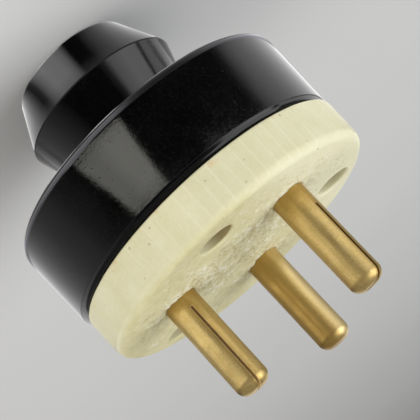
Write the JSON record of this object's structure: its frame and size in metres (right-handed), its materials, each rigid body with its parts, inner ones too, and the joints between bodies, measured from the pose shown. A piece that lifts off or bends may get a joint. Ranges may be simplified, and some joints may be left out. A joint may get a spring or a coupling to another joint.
{
  "type": "porcelain plug",
  "caption": "Round power plug: a ribbed cream porcelain base with brass contact pins set in a triangle, closed by a glossy black moulded cap with a double-cone grip for the cable.",
  "frame": {"origin": "centre of the flat cable end of the grip, on the surface that the plug stands on", "axes": "+Z along the plug's axis from the cable end to the pins' tips; +Y from the axis towards the earth pin"},
  "size_m": [0.043, 0.043, 0.0503],
  "materials": {
    "bakelite": "gloss",
    "porcelain": "satin",
    "pin_brass": "satin",
    "terminal_brass": "satin",
    "screw_steel": "satin"
  },
  "bodies": {
    "root": {"cap": "bakelite", "porcelain_base": "porcelain", "live_pin": "pin_brass", "neutral_pin": "pin_brass", "earth_pin": "pin_brass", "live_washer": "terminal_brass", "neutral_washer": "terminal_brass", "earth_washer": "terminal_brass", "live_nut": "terminal_brass", "neutral_nut": "terminal_brass", "earth_nut": "terminal_brass", "live_terminal_washer": "terminal_brass", "neutral_terminal_washer": "terminal_brass", "earth_terminal_washer": "terminal_brass", "live_terminal_nut": "terminal_brass", "neutral_terminal_nut": "terminal_brass", "earth_terminal_nut": "terminal_brass", "fixing_screw_1": "screw_steel", "fixing_screw_2": "screw_steel", "fixing_screw_3": "screw_steel", "screw_insert_1": "terminal_brass", "screw_insert_2": "terminal_brass", "screw_insert_3": "terminal_brass"}
  },
  "joints": []
}
